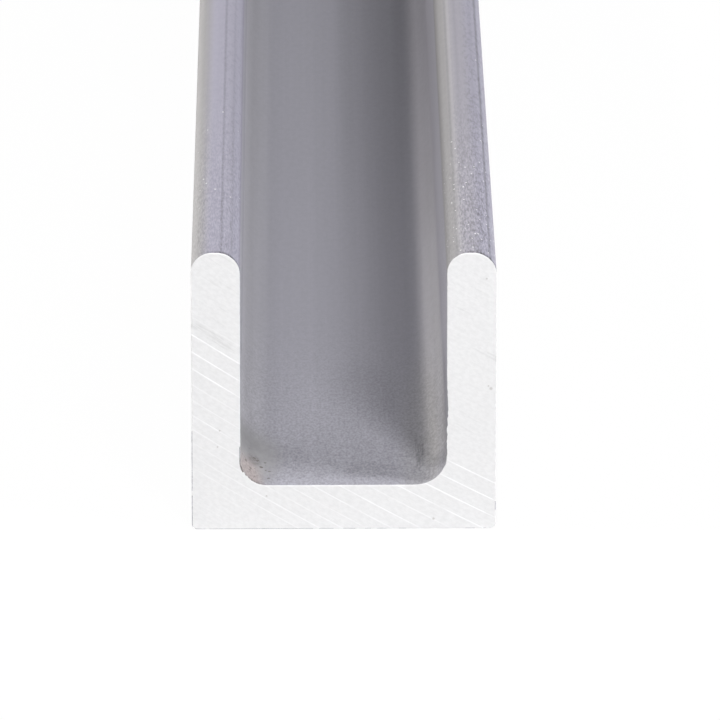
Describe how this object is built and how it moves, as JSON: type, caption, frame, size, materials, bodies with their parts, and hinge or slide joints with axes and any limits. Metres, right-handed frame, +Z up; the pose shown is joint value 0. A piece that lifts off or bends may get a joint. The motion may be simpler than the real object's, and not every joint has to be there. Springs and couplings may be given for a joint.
{
  "type": "aluminium u-channel extrusion profile",
  "caption": "Length of extruded aluminium U-channel with equal legs, rounded leg tips, filleted roots and square saw-cut ends, for framing, edging and guiding panels.",
  "frame": {"origin": "middle of the underside of the web, on the surface that the channel lies on", "axes": "+Z up through the open side between the legs, +Y along the length, +X across the legs"},
  "size_m": [0.025, 0.5, 0.025],
  "materials": {
    "mill_aluminium": "plain mill finish with fine die lines along the length, bright saw-cut ends"
  },
  "bodies": {
    "root": {"u_channel": "mill_aluminium"}
  },
  "joints": []
}
